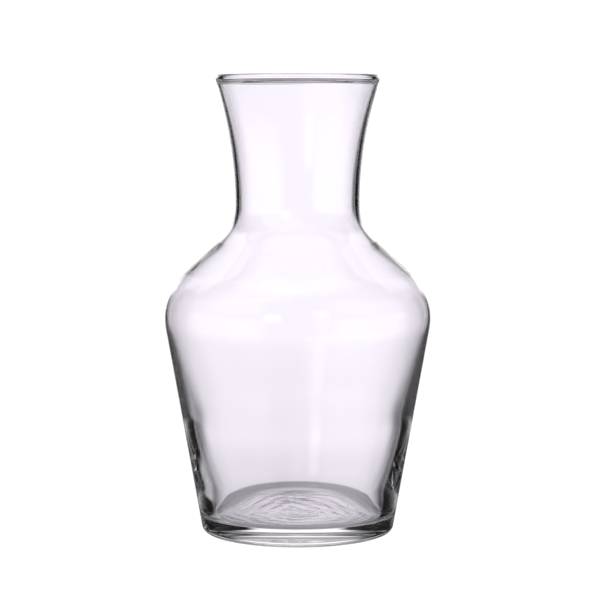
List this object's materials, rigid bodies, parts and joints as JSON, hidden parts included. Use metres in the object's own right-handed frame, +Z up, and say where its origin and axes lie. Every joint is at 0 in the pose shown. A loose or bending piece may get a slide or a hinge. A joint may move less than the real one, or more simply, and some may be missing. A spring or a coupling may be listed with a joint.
{
  "type": "carafe",
  "caption": "Clear glass table carafe with a heavy tapering base, round shoulder, waisted neck and flared pouring lip.",
  "frame": {"origin": "centre of the foot, on the surface that the carafe stands on", "axes": "+Z up along the axis of revolution; X and Y are alike, since the carafe is round"},
  "size_m": [0.1218, 0.1218, 0.2094],
  "materials": {
    "clear_glass": "fire-polished"
  },
  "bodies": {
    "root": {"glass_vessel": "clear_glass"}
  },
  "joints": []
}
